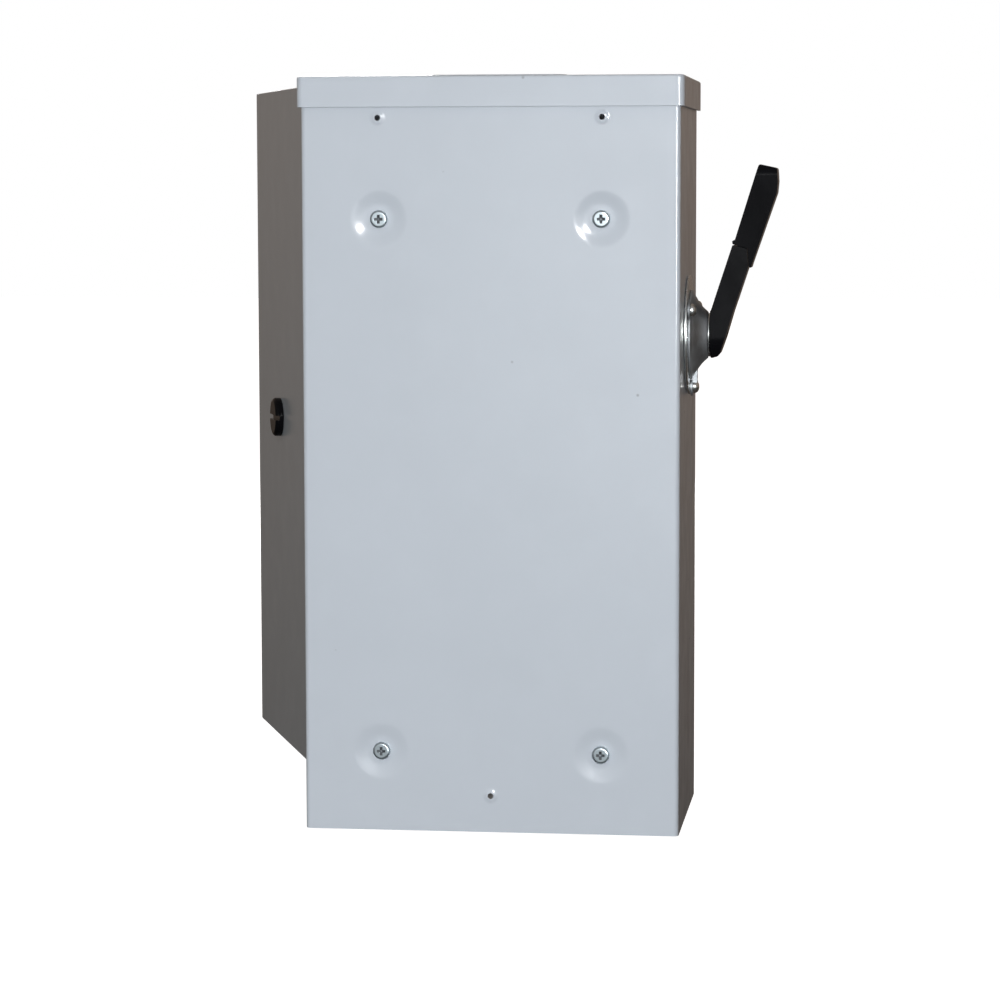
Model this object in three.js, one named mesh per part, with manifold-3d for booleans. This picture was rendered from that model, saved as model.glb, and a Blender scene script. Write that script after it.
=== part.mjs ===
// A wall-mounted enclosed disconnect switch with a side handle, a hinged door and a fused three-pole interior.
// Millimetres, +Z up. The wall is the plane y = 0, the door side faces -Y, and z = 0 is the case's bottom edge.
import * as THREE from "three";
import { mergeVertices } from "three/addons/utils/BufferGeometryUtils.js";
import Module from "manifold-3d";

const wasm = await Module();
wasm.setup();

// ---- driving dimensions ----
const GAP = 0.3; // clearance between neighbouring pieces
const SHEET = 1.5; // steel sheet of the case and the door
const BEND = 3; // outer radius of a sheet bend

const CASE = { half: 112.5, back: -2.3, front: -143, top: 448.2, lip: 14 };
const CAP = { half: 114.8, back: 0, skirtFrom: 431.8, top: 450, sheet: 1.9 };
const HEADER = { half: 98, from: 418 }; // the strip under the cap, between the case's front lips
const PAN_FLANGE = 14; // height of the bottom plate's upturned edges
const KNOCKOUTS = [
  { x: -62, rings: [11] },
  { x: 0, rings: [11, 17.5] },
  { x: 62, rings: [11] },
];

const PLATE_SCREW = { x: 66, high: 366, low: 48, shank: 2.5, head: 5.2, height: 2.8 };
const DIMPLE = { outer: 15.5, inner: 9.5, depth: 1.5 };
const RIM = { base: 4.2, top: 3, height: 0.6, hole: 1.75 }; // the rolled rim of a hanging hole
const HANGERS = [
  [-66.5, 425.5],
  [66.5, 425.5],
  [0, 22],
];

const HINGE_AXIS = { x: 117.8, y: -143.4 };
const HINGE = { barrel: 3, pin: 1.4, height: 60, knuckles: 3, low: 60, high: 330 };
const DOOR_OPEN = THREE.MathUtils.degToRad(111); // how far the door stands open at rest
const DOOR = { half: 114.5, edge: -143.4, face: -154.4, low: 7.5, top: 449.5 };
const LATCH = { x: -24, z: 229, knob: 13, proud: 5.3, stem: 6, camReach: 78.5, cam: [-141.1, -139.1] };

const AXLE = { y: -68, z: 295.5 }; // the handle, the rotor and the mechanism all turn on this line
const SHAFT = 5.5;
const RING = { radius: 36, outer: -114.3 };
const EARS = { pitch: 31.5, radius: 5.6, angles: [-90, 30, 150] };
const MECHANISM = { wall: -110.7, inner: -84.5, y: [-112, -30], z: [252, 343] };
const INTERLOCK = { y: -96, z: 262, x: [-84.2, -82.2], lowered: THREE.MathUtils.degToRad(20) };

const CHASSIS = { half: 76, y: [-8.3, -6.3], z: [36, 384] };
const POLES = [-38, 0, 38];
const BASE = { half: 59, back: -8.6, floor: -20, wall: -60, z: [105, 386] };
const CONDUCTOR = { half: 7, y: [-24.3, -20.3] };
const BLADE = { half: 1.25, wide: 6, reach: 48 };
const FUSE = { y: -40, z: [150, 226], body: 9.6, ferrule: 10.3, ferruleLength: 16 };

// ---- finishes ----
const PAINT = { color: 0xc4cad4, roughness: 0.28, metalness: 0 };
const DOOR_PAINT = { color: 0xb9bec6, roughness: 0.3, metalness: 0 };
const ZINC = { color: 0xb4b8b6, roughness: 0.32, metalness: 1 };
const CASTING = { color: 0x4b4c4e, roughness: 0.5, metalness: 0.8 };
const STEEL = { color: 0x9a9c9e, roughness: 0.4, metalness: 1 };
const BLACK = { color: 0x17171a, roughness: 0.45, metalness: 0 };
const MOULDING = { color: 0x2c2624, roughness: 0.6, metalness: 0 };
const COPPER = { color: 0xc9c4b8, roughness: 0.35, metalness: 1 };
const FUSE_BODY = { color: 0xb08a5c, roughness: 0.8, metalness: 0 };
const CLEAR = { color: 0xdfe8ee, roughness: 0.08, metalness: 0, transparent: true, opacity: 0.35 };
const ALUMINIUM = { color: 0xbfc2c5, roughness: 0.4, metalness: 1 };

// ---- shape helpers ----

// A closed geometry as a solid that can be cut and joined, facing out whichever way it was drawn.
function solid(geometry) {
  const bare = geometry.index ? geometry.toNonIndexed() : geometry.clone();
  bare.deleteAttribute("normal");
  bare.deleteAttribute("uv");
  const merged = mergeVertices(bare, 1e-4);
  const vertProperties = merged.attributes.position.array;
  const triVerts = new Uint32Array(merged.index.array);
  const made = new wasm.Manifold(new wasm.Mesh({ numProp: 3, vertProperties, triVerts }));
  if (made.volume() > 0) return made;
  return new wasm.Manifold(new wasm.Mesh({ numProp: 3, vertProperties, triVerts: triVerts.reverse() }));
}

function box([x0, x1], [y0, y1], [z0, z1]) {
  const geometry = new THREE.BoxGeometry(x1 - x0, y1 - y0, z1 - z0);
  geometry.translate((x0 + x1) / 2, (y0 + y1) / 2, (z0 + z1) / 2);
  return solid(geometry);
}

const AXES = {
  x: new THREE.Vector3(1, 0, 0),
  y: new THREE.Vector3(0, 1, 0),
  z: new THREE.Vector3(0, 0, 1),
  "-x": new THREE.Vector3(-1, 0, 0),
  "-y": new THREE.Vector3(0, -1, 0),
};

// A turned solid that starts at a point and runs along an axis. Its profile is a list of [radius, distance].
function turned(axis, start, profile, segments = 20) {
  const points = profile.map(([radius, distance]) => new THREE.Vector2(radius, distance));
  const geometry = new THREE.LatheGeometry(points, segments);
  const turn = new THREE.Quaternion().setFromUnitVectors(AXES.y, AXES[axis]);
  geometry.applyQuaternion(turn);
  geometry.translate(...start);
  return solid(geometry);
}

function rod(axis, start, length, radius, segments = 16) {
  return turned(axis, start, [[0, 0], [radius, 0], [radius, length], [0, length]], segments);
}

function cone(axis, start, length, from, to, segments = 18) {
  return turned(axis, start, [[0, 0], [from, 0], [to, length], [0, length]], segments);
}

// A ring with a square section, closed on itself.
function ring(axis, start, length, inner, outer, segments = 20) {
  const profile = [[inner, 0], [outer, 0], [outer, length], [inner, length], [inner, 0]];
  return turned(axis, start, profile, segments);
}

const PLANES = {
  xy: [AXES.x, AXES.y, AXES.z],
  yz: [AXES.y, AXES.z, AXES.x],
  xz: [AXES.x, AXES.z, AXES.y],
};

// An outline drawn in a plane and carried along the plane's normal from one distance to another.
function prism(plane, outline, [from, to]) {
  const shape = new THREE.Shape(outline.map(([u, v]) => new THREE.Vector2(u, v)));
  const geometry = new THREE.ExtrudeGeometry(shape, { depth: to - from, bevelEnabled: false });
  geometry.translate(0, 0, from);
  geometry.applyMatrix4(new THREE.Matrix4().makeBasis(...PLANES[plane]));
  return solid(geometry);
}

// An outline whose corners are [u, v] or, where they are rounded by an arc, [u, v, radius].
function rounded(corners, steps = 3) {
  const origin = new THREE.Vector2();
  const corner = (i) => {
    const [u, v] = corners[(i + corners.length) % corners.length];
    return new THREE.Vector2(u, v);
  };
  const points = [];
  corners.forEach(([u, v, radius], i) => {
    if (!radius) {
      points.push([u, v]);
      return;
    }
    const here = new THREE.Vector2(u, v);
    const back = corner(i - 1).sub(here).normalize();
    const ahead = corner(i + 1).sub(here).normalize();
    const half = Math.acos(back.dot(ahead)) / 2;
    const centre = back.clone().add(ahead).normalize().multiplyScalar(radius / Math.sin(half)).add(here);
    const spoke = back.clone().multiplyScalar(radius / Math.tan(half)).add(here).sub(centre);
    const turn = -Math.sign(back.cross(ahead)) * (Math.PI - 2 * half);
    for (let k = 0; k <= steps; k += 1) {
      const point = spoke.clone().rotateAround(origin, (turn * k) / steps).add(centre);
      points.push([point.x, point.y]);
    }
  });
  return points;
}

function rectangle([u0, u1], [v0, v1], radius) {
  return rounded([[u0, v0, radius], [u1, v0, radius], [u1, v1, radius], [u0, v1, radius]]);
}

const join = (first, ...rest) => rest.reduce((made, piece) => made.add(piece), first);
const cut = (first, ...rest) => rest.reduce((made, piece) => made.subtract(piece), first);

function part(name, made, finish) {
  const data = made.getMesh();
  const geometry = new THREE.BufferGeometry();
  geometry.setAttribute("position", new THREE.BufferAttribute(data.vertProperties, 3));
  geometry.setIndex(new THREE.BufferAttribute(data.triVerts, 1));
  geometry.computeVertexNormals();
  const mesh = new THREE.Mesh(geometry, new THREE.MeshStandardMaterial(finish));
  mesh.name = name;
  return mesh;
}

// Where an ear of the handle's dome sits, as [y, z].
function earPlaces() {
  return EARS.angles.map((degrees) => {
    const angle = THREE.MathUtils.degToRad(degrees);
    return [AXLE.y + EARS.pitch * Math.cos(angle), AXLE.z + EARS.pitch * Math.sin(angle)];
  });
}

function plateScrewPlaces() {
  const { x, high, low } = PLATE_SCREW;
  return [[-x, high], [x, high], [-x, low], [x, low]];
}

// ---- case ----

// The wrap: one sheet bent into the back, both sides and the front lips.
function bodyShell() {
  const { half, back, front, top, lip } = CASE;
  const tight = BEND - SHEET;
  const wrap = prism("xy", rounded([
    [-half + lip, front],
    [-half, front, BEND],
    [-half, back, BEND],
    [half, back, BEND],
    [half, front, BEND],
    [half - lip, front],
    [half - lip, front + SHEET],
    [half - SHEET, front + SHEET, tight],
    [half - SHEET, back - SHEET, tight],
    [-half + SHEET, back - SHEET, tight],
    [-half + SHEET, front + SHEET, tight],
    [-half + lip, front + SHEET],
  ]), [0, top]);
  let made = wrap;
  for (const [x, z] of plateScrewPlaces()) {
    const { outer, inner, depth } = DIMPLE;
    made = made.add(cone("-y", [x, back - SHEET / 2, z], SHEET / 2 + depth, outer + 1, inner + 1));
    made = made.subtract(cone("-y", [x, back + 0.01, z], depth, outer, inner));
    made = made.subtract(rod("-y", [x, 0, z], 9, PLATE_SCREW.shank + GAP, 12));
  }
  for (const [x, z] of HANGERS) {
    const { base, top, height, hole } = RIM;
    made = made.add(cone("y", [x, back - SHEET / 2, z], height + SHEET / 2, base + 0.5, top));
    made = made.subtract(cone("y", [x, back - SHEET - 0.01, z], height, base - 1, top - 1));
    made = made.subtract(rod("-y", [x, 1, z], 9, hole, 12));
  }
  made = made.subtract(rod("x", [-half - 2, AXLE.y, AXLE.z], 6, SHAFT + 3.5));
  for (const [y, z] of earPlaces()) {
    made = made.subtract(rod("x", [-half - 2, y, z], 6, 2.3, 12));
  }
  return made;
}

// The bottom end: a shallow pan that closes the wrap, with part-cut conduit knockouts.
function bottomPlate() {
  const inside = CASE.half - SHEET - GAP;
  const y0 = CASE.front + SHEET + GAP;
  const y1 = CASE.back - SHEET - GAP;
  const pan = cut(
    prism("xy", rectangle([-inside, inside], [y0, y1], 2), [0, PAN_FLANGE]),
    box([-inside + SHEET, inside - SHEET], [y0 + SHEET, y1 - SHEET], [SHEET, PAN_FLANGE + 1]),
  );
  const middle = (y0 + y1) / 2;
  return KNOCKOUTS.reduce((made, { x, rings }) => rings.reduce(
    (left, radius) => left.subtract(ring("z", [x, middle, -1], 1.7, radius, radius + 0.7)),
    made,
  ), pan);
}

// The rain cap: a top sheet with a skirt on the sides and back, and a header strip in the front opening.
function topCap() {
  const { half, back, skirtFrom, top, sheet } = CAP;
  const front = CASE.front;
  const block = prism("xy", rounded([
    [-half, front],
    [-half, back, BEND + 1],
    [half, back, BEND + 1],
    [half, front],
  ]), [skirtFrom, top]);
  const pocket = prism("xy", rounded([
    [-half + sheet, front - 1],
    [-half + sheet, back - sheet, BEND],
    [half - sheet, back - sheet, BEND],
    [half - sheet, front - 1],
  ]), [skirtFrom - 1, top - SHEET]);
  const header = box([-HEADER.half, HEADER.half], [front, front + SHEET], [HEADER.from, top - SHEET / 2]);
  return join(cut(block, pocket), header);
}

// The blank plate that closes the conduit hub opening in the top.
function hubCover() {
  const y = (CASE.front + CAP.back) / 2;
  const from = CAP.top + GAP;
  const plate = prism("xy", rectangle([-42, 42], [y - 42, y + 42], 10), [from, from + 1.1]);
  return join(plate, cone("z", [0, y, from + 1], 0.6, 26, 25, 24));
}

// ---- door, drawn closed and hung open ----

function doorPan() {
  const { half, edge, face, low, top } = DOOR;
  const block = prism("xy", rounded([
    [-half, edge],
    [half, edge],
    [half, face, BEND],
    [-half, face, BEND],
  ]), [low, top]);
  const pocket = box([-half + SHEET, half - SHEET], [face + SHEET, edge + 1], [low + SHEET, top - SHEET]);
  return cut(block, pocket, rod("-y", [LATCH.x, edge, LATCH.z], 20, LATCH.stem + GAP + 0.5));
}

// Which of a hinge's knuckles lie on the case leaf: every other one, from the ends.
function knuckleSpans(onCase) {
  const pitch = HINGE.height / HINGE.knuckles;
  const spans = [];
  for (let k = onCase ? 0 : 1; k < HINGE.knuckles; k += 2) {
    spans.push([k * pitch + (k ? GAP : 0), (k + 1) * pitch - (k + 1 < HINGE.knuckles ? GAP : 0)]);
  }
  return spans;
}

function knuckle(z, [from, to]) {
  const { barrel, pin } = HINGE;
  return ring("z", [HINGE_AXIS.x, HINGE_AXIS.y, z + from], to - from, pin + GAP, barrel, 20);
}

function caseLeaf(z) {
  const x0 = CASE.half + GAP;
  const leaf = box([x0, x0 + SHEET], [HINGE_AXIS.y + 1.2, HINGE_AXIS.y + 20], [z, z + HINGE.height]);
  return knuckleSpans(true).reduce((made, span) => {
    const web = box([x0, HINGE_AXIS.x], [HINGE_AXIS.y + 1.9, HINGE_AXIS.y + 2.9], [z + span[0], z + span[1]]);
    return join(made, web, knuckle(z, span));
  }, cut(leaf, box([x0 - 1, x0 + 9], [HINGE_AXIS.y, HINGE_AXIS.y + 3.1],
    [z + knuckleSpans(true)[0][1], z + knuckleSpans(true)[1][0]])));
}

function doorLeaf(z) {
  const x0 = DOOR.half + GAP;
  const span = knuckleSpans(false)[0];
  const leaf = box([x0, x0 + 1.2], [DOOR.face + BEND + 0.4, HINGE_AXIS.y - 1.6], [z + span[0], z + span[1]]);
  return join(leaf, knuckle(z, span));
}

function hingePin(z) {
  const { pin, height } = HINGE;
  const head = rod("z", [HINGE_AXIS.x, HINGE_AXIS.y, z - 1.3], 1, HINGE.barrel - 0.4, 16);
  return join(head, rod("z", [HINGE_AXIS.x, HINGE_AXIS.y, z - 0.5], height + 1.5, pin, 16));
}

function latchKnob() {
  const { x, z, knob, proud, stem } = LATCH;
  const seat = DOOR.face - GAP;
  const profile = [[0, 0], [knob, 0], [knob, proud - 1.6], [knob - 1.6, proud], [0, proud]];
  const body = turned("-y", [x, seat, z], profile, 24);
  const slot = box([x - knob, x + knob], [seat - proud - 1, seat - proud + 2.6], [z - 1.6, z + 1.6]);
  return join(cut(body, slot), rod("y", [x, seat - 0.5, z], LATCH.cam[1] + 1 - seat, stem, 20));
}

// A long bar that hangs down when undone, and swings out behind the case's front lip to hold the door shut.
function latchCam() {
  const { x, z, stem, camReach, cam } = LATCH;
  const outline = rounded([
    [x + 9, z + 9, 5],
    [x - 9, z + 9, 5],
    [x - 7, z - camReach, 4],
    [x + 7, z - camReach, 4],
  ]);
  return cut(prism("xz", outline, cam), rod("-y", [x, cam[1] + 1, z], 4, stem + GAP, 20));
}

function latchNut() {
  const seat = DOOR.face + SHEET + GAP;
  const start = [LATCH.x, seat, LATCH.z];
  return cut(rod("y", start, 3.4, 10, 6), rod("y", [LATCH.x, seat - 1, LATCH.z], 6, LATCH.stem + GAP));
}

// The hook on the door that the interlock lever holds while the switch is on.
function doorCatch() {
  const seat = DOOR.face + SHEET + GAP;
  const foot = box([-90, -77], [seat, seat + SHEET], [271, 287]);
  const hook = prism("yz", [
    [seat, 276], [-125, 276], [-125, 268], [-121, 268], [-121, 284], [seat, 284],
  ], INTERLOCK.x);
  return join(foot, hook);
}

// ---- side handle ----

function handleRing() {
  const { radius, outer } = RING;
  const made = ring("-x", [-CASE.half - GAP, AXLE.y, AXLE.z], -outer - CASE.half - GAP, SHAFT + 3, radius, 36);
  return cut(made, ...earPlaces().map(([y, z]) => rod("x", [outer - 1, y, z], 4, 2.3, 12)));
}

function handleDome() {
  const seat = RING.outer - GAP;
  const flange = 1.2;
  const dome = turned("-x", [seat, AXLE.y, AXLE.z], [
    [SHAFT + GAP, 0], [27, 0], [27, flange], [24.5, flange + 0.8], [21, 4], [17, 7.2], [14.3, 10.4],
    [SHAFT + GAP, 10.4], [SHAFT + GAP, 0],
  ], 28);
  const ears = earPlaces().map(([y, z]) => rod("-x", [seat, y, z], flange, EARS.radius));
  const rib = prism("yz", [[-71.5, 265.5], [-64.5, 265.5], [-64.5, 276], [-71.5, 276]], [seat - 4, seat]);
  const made = join(dome, ...ears, rib);
  const clearance = earPlaces().map(([y, z]) => rod("x", [seat - 9, y, z], 9 - flange, 4.4));
  const holes = earPlaces().map(([y, z]) => rod("x", [seat - 9, y, z], 12, 2.3, 12));
  return cut(made, ...clearance, ...holes);
}

function domeScrew([y, z]) {
  const seat = RING.outer - GAP - 1.2 - GAP;
  const head = [[0, 0], [4, 0], [4, 0.8], [3.5, 2.2], [2.2, 3.2], [0, 3.6]];
  return join(turned("-x", [seat, y, z], head, 16), rod("x", [seat - 0.5, y, z], 9, 2, 12));
}

function neckWasher() {
  return ring("-x", [-125.3, AXLE.y, AXLE.z], 1, SHAFT + GAP, 13.2, 24);
}

// The lever seen from behind, from the hub up to the step where the grip takes over.
const ARM_PROFILE = [
  [-126.6, 281.3], [-130.9, 282.6], [-132.7, 284.8], [-136, 294.5], [-140.5, 309.8], [-149.3, 336.2],
  [-148.45, 347.55], [-139.8, 349.9], [-127.2, 311], [-126.6, 309.9],
];
const GRIP_PROFILE = [
  [-139.9, 350.4], [-148.8, 347.95], [-149.6, 337], [-150.9, 335.8], [-151.7, 338.6], [-166.3, 381],
  [-166.9, 387.7], [-166.4, 395.8], [-155.4, 398.2], [-141.3, 353], [-139.6, 352.2],
];
// The tongue that carries the grip runs along the lever's lean.
const TONGUE = { start: [-144.3, 345], lean: THREE.MathUtils.degToRad(18.4), length: 29, half: 3, wide: 5.5 };

function tongue(extra) {
  const { start, lean, length, half, wide } = TONGUE;
  const along = [-Math.sin(lean), Math.cos(lean)];
  const across = [Math.cos(lean), Math.sin(lean)];
  const reach = length + extra;
  const corner = (side, t) => [
    start[0] + along[0] * t + across[0] * side * (half + extra),
    start[1] + along[1] * t + across[1] * side * (half + extra),
  ];
  const outline = [corner(-1, 0), corner(1, 0), corner(1, reach), corner(-1, reach)];
  return prism("xz", outline, [AXLE.y - wide - extra, AXLE.y + wide + extra]);
}

function leverArm() {
  const { y, z } = AXLE;
  const side = rounded([
    [y - 14.3, z - 14.3, 12.8], [y + 14.3, z - 14.3, 12.8], [y + 9.5, z + 56], [y - 9.5, z + 56],
  ], 8);
  const arm = prism("xz", ARM_PROFILE, [y - 16, y + 16]).intersect(prism("yz", side, [-170, -120]));
  return cut(
    join(arm, tongue(0)),
    rod("x", [-129.8, y, z], 5, SHAFT + GAP),
    rod("x", [-140, y, z], 8.1, 4.4),
    rod("x", [-140, y, z], 14, 2.1, 12),
  );
}

function leverGrip() {
  const { y, z } = AXLE;
  const side = rounded([
    [y - 10.5, z + 38], [y + 10.5, z + 38], [y + 12.5, z + 103, 7], [y - 12.5, z + 103, 7],
  ], 6);
  const grip = prism("xz", GRIP_PROFILE, [y - 16, y + 16]).intersect(prism("yz", side, [-175, -130]));
  return cut(grip, tongue(GAP));
}

function hubScrew() {
  const { y, z } = AXLE;
  const head = turned("-x", [-132.2, y, z], [[0, 0], [4, 0], [4, 1.6], [3, 2.4], [0, 2.4]], 20);
  const slot = box([-136, -133.4], [y - 0.6, y + 0.6], [z - 5, z + 5]);
  return join(cut(head, slot), rod("x", [-132.5, y, z], 8.5, 1.8, 12));
}

function handleShaft() {
  const { y, z } = AXLE;
  return cut(rod("x", [-129.5, y, z], 44.4, SHAFT), rod("x", [-130, y, z], 6.5, 2.1, 12));
}

// ---- operating mechanism ----

function mechanismFrame() {
  const { wall, inner, y, z } = MECHANISM;
  const made = cut(
    box([wall, inner], y, z),
    box([wall + SHEET, inner - SHEET], [y[0] - 1, y[1] + 1], [z[0] + SHEET, z[1] - SHEET]),
    rod("x", [wall - 1, AXLE.y, AXLE.z], 40, SHAFT + GAP),
    ...earPlaces().map(([ey, ez]) => rod("x", [wall - 1, ey, ez], 4, 2.3, 12)),
  );
  return join(made, rod("x", [inner - 0.5, INTERLOCK.y, INTERLOCK.z], 5, 2.5, 16));
}

// The crank that the handle's shaft turns inside the frame.
function driveCrank() {
  const { y, z } = AXLE;
  const side = rounded([
    [y - 10, z - 10, 8], [y + 10, z - 10, 8], [y + 5, z + 34, 4.5], [y - 5, z + 34, 4.5],
  ], 5);
  const web = prism("yz", side, [-92, -89]);
  const hub = rod("x", [-92, y, z], 5.5, 9.5);
  const stud = rod("-x", [-91, y, z + 28], 9, 3, 16);
  return cut(join(web, hub, stud), rod("x", [-101, y, z], 16, SHAFT + GAP));
}

// A coil spring round the shaft, with a straight leg at each end.
function mechanismSpring() {
  const coil = { radius: 9, wire: 1.1, pitch: 3.2, turns: 3.5, start: -107 };
  const steps = Math.round(coil.turns * 10);
  const points = [new THREE.Vector3(coil.start, AXLE.y - 34, AXLE.z - coil.radius)];
  for (let k = 0; k <= steps; k += 1) {
    const angle = (k / steps) * coil.turns * 2 * Math.PI;
    points.push(new THREE.Vector3(
      coil.start + coil.pitch * coil.turns * (k / steps),
      AXLE.y + coil.radius * Math.sin(angle),
      AXLE.z - coil.radius * Math.cos(angle),
    ));
  }
  const end = points[points.length - 1];
  points.push(new THREE.Vector3(end.x, end.y - 22, end.z));
  const wire = new THREE.CatmullRomCurve3(points, false, "centripetal");
  const section = new THREE.Shape().absarc(0, 0, coil.wire, 0, 2 * Math.PI);
  return solid(new THREE.ExtrudeGeometry(section, {
    extrudePath: wire, steps: steps + 8, curveSegments: 2, bevelEnabled: false,
  }));
}

// Drawn engaged, in front of the door's hook, and lowered at rest.
function interlockLever() {
  const { y, z, x } = INTERLOCK;
  const outline = rounded([
    [y + 6, z - 6, 5], [y + 6, z + 6, 5], [-125.8, z + 3],
    [-127.5, z + 10], [-131.5, z + 10], [-131.5, z - 4, 3],
  ]);
  const made = cut(prism("yz", outline, x), rod("x", [x[0] - 1, y, z], 5, 2.8, 16));
  const tilt = THREE.MathUtils.radToDeg(INTERLOCK.lowered);
  return made.translate([0, -y, -z]).rotate([tilt, 0, 0]).translate([0, y, z]);
}

// ---- switch interior ----

function mountingPlate() {
  const { half, y, z } = CHASSIS;
  const sheet = prism("xz", rectangle([-half, half], z, 6), y);
  return plateScrewPlaces().reduce((made, [px, pz]) => cut(
    join(made, rod("-y", [px, y[1] - 1, pz], 4.7, 4.6, 20)),
    rod("-y", [px, y[1] + 1, pz], 9, PLATE_SCREW.shank + GAP, 12),
  ), sheet);
}

function plateScrew([x, z]) {
  const { shank, head, height } = PLATE_SCREW;
  const seat = CASE.back - DIMPLE.depth + GAP;
  const profile = [[0, 0], [head, 0], [head, 1], [head - 0.9, 2.2], [head - 2.4, height], [0, height]];
  const cross = [
    box([x - 2.6, x + 2.6], [seat + 1.3, seat + 4], [z - 0.6, z + 0.6]),
    box([x - 0.6, x + 0.6], [seat + 1.3, seat + 4], [z - 2.6, z + 2.6]),
  ];
  const body = cut(turned("y", [x, seat, z], profile, 16), ...cross);
  return join(body, rod("-y", [x, seat + 0.5, z], 10, shank, 12));
}

// The moulded base: a floor, the walls between the poles, arc barriers and the rotor's snap bearings.
function switchBase() {
  const { half, back, floor, wall, z } = BASE;
  const walls = [[-half, -half + 4], [-20.5, -17.5], [17.5, 20.5], [half - 4, half]];
  let made = box([-half, half], [floor, back], z);
  walls.forEach((x, i) => {
    const outside = i === 0 || i === walls.length - 1;
    made = join(made, box(x, [wall, floor + 1], z), box(x, [wall - 32, wall + 1], [316, 350]));
    if (outside) made = made.add(box(x, [-84, wall + 1], [279, 317]));
  });
  made = made.subtract(rod("x", [-half + 4.05, AXLE.y, AXLE.z], 2 * half - 8.1, 14.5, 24));
  made = made.subtract(rod("x", [-half - 1, AXLE.y, AXLE.z], 2 * half + 2, 6 + GAP));
  return made.subtract(box([-half - 1, half + 1], [-90, AXLE.y], [AXLE.z - 5.4, AXLE.z + 5.4]));
}

// The insulated crossbar that carries the three blades.
function rotor() {
  const { y, z } = AXLE;
  const bar = prism("yz", rectangle([y - 9, y + 9], [z - 9, z + 9], 2.5), [-54.4, 54.4]);
  const journals = rod("x", [-59.4, y, z], 118.8, 6);
  const stub = rod("x", [-84.2, y, z], 30, 5);
  const slots = POLES.map((x) => box(
    [x - BLADE.half - GAP, x + BLADE.half + GAP],
    [y - BLADE.wide - GAP, y + BLADE.wide + GAP],
    [z - 20, z + 20],
  ));
  return cut(join(bar, journals, stub), ...slots);
}

function blade(x) {
  const { half, wide, reach } = BLADE;
  const outline = rectangle([AXLE.y - wide, AXLE.y + wide], [AXLE.z - reach, AXLE.z + reach], 3);
  return prism("yz", outline, [x - half, x + half]);
}

// The two leaves that grip a blade, either side of it.
function jawLeaves(x, y, z) {
  const near = BLADE.half + GAP + 0.05;
  return [box([x + near, x + near + SHEET], y, z), box([x - near - SHEET, x - near], y, z)];
}

function conductor(x, z) {
  return box([x - CONDUCTOR.half, x + CONDUCTOR.half], CONDUCTOR.y, z);
}

function lineJaw(x) {
  return join(conductor(x, [333, 382]), ...jawLeaves(x, [-75, -23], [333.5, 346]));
}

// A spring clip for one end of a fuse, open to the front.
function fuseClip(x, from) {
  const { y, ferrule } = FUSE;
  const hoop = ring("z", [x, y, from], 12, ferrule + 0.4, ferrule + 1.6, 20);
  const mouth = box([x - 20, x + 20], [y - 20, y - 7], [from - 1, from + 13]);
  const foot = box([x - 4, x + 4], [y + ferrule + 0.9, CONDUCTOR.y[0] + 0.5], [from, from + 12]);
  return join(cut(hoop, mouth), foot);
}

function loadJaw(x) {
  const post = box([x - CONDUCTOR.half, x + CONDUCTOR.half], [-76, CONDUCTOR.y[1]], [232, 237]);
  const leaves = jawLeaves(x, [-74, -62], [236, 259.5]);
  return join(conductor(x, [205, 233]), post, ...leaves, fuseClip(x, 210));
}

function loadClip(x) {
  return join(conductor(x, [112, 170]), fuseClip(x, 154));
}

function fuse(x) {
  const { y, z, body, ferrule, ferruleLength: cap } = FUSE;
  const length = z[1] - z[0];
  return turned("z", [x, y, z[0]], [
    [0, 0], [ferrule, 0], [ferrule, cap], [body, cap], [body, length - cap],
    [ferrule, length - cap], [ferrule, length], [0, length],
  ], 20);
}

// A binding screw with its captive pressure plate, over the end of a conductor.
function terminal(x, z) {
  const seat = CONDUCTOR.y[0] - GAP;
  const plate = box([x - 6.5, x + 6.5], [seat - 1.8, seat], [z - 6.5, z + 6.5]);
  const head = turned("-y", [x, seat - 1.5, z], [[0, 0], [4.8, 0], [4.8, 3.2], [4, 4], [0, 4]], 20);
  return cut(join(plate, head), box([x - 6, x + 6], [seat - 7, seat - 4], [z - 0.7, z + 0.7]));
}

// The clear cover over the live line terminals, bridging the base's side walls.
function lineShield() {
  const x = BASE.half + GAP + SHEET;
  const block = prism("xz", rectangle([-x, x], [352, 392], 0), [-99.5, -42]);
  return cut(block, box([-x + SHEET, x - SHEET], [-98, -40], [340, 400]));
}

function groundBar() {
  const y1 = CASE.back - SHEET - GAP;
  const bar = box([84, 95], [y1 - 9, y1], [62, 132]);
  return [72, 88, 104, 120].reduce((made, z) => {
    const head = rod("-y", [89.5, y1 - 8.5, z], 3, 3.6, 16);
    return join(made, cut(head, box([85, 94], [y1 - 12, y1 - 10.4], [z - 0.5, z + 0.5])));
  }, bar);
}

// ---- assembly ----

const disconnect = new THREE.Group();
disconnect.add(
  part("body_shell", bodyShell(), PAINT),
  part("bottom_plate", bottomPlate(), PAINT),
  part("top_cap", topCap(), PAINT),
  part("hub_cover", hubCover(), PAINT),
  part("mounting_plate", mountingPlate(), STEEL),
  part("switch_base", switchBase(), MOULDING),
  part("rotor", rotor(), BLACK),
  part("line_shield", lineShield(), CLEAR),
  part("ground_bar", groundBar(), ALUMINIUM),
  part("mechanism_frame", mechanismFrame(), ZINC),
  part("drive_crank", driveCrank(), STEEL),
  part("mechanism_spring", mechanismSpring(), STEEL),
  part("interlock_lever", interlockLever(), ZINC),
  part("handle_ring", handleRing(), ZINC),
  part("handle_dome", handleDome(), CASTING),
  part("neck_washer", neckWasher(), ZINC),
  part("handle_shaft", handleShaft(), STEEL),
  part("lever_arm", leverArm(), BLACK),
  part("lever_grip", leverGrip(), BLACK),
  part("hub_screw", hubScrew(), ZINC),
);
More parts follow.
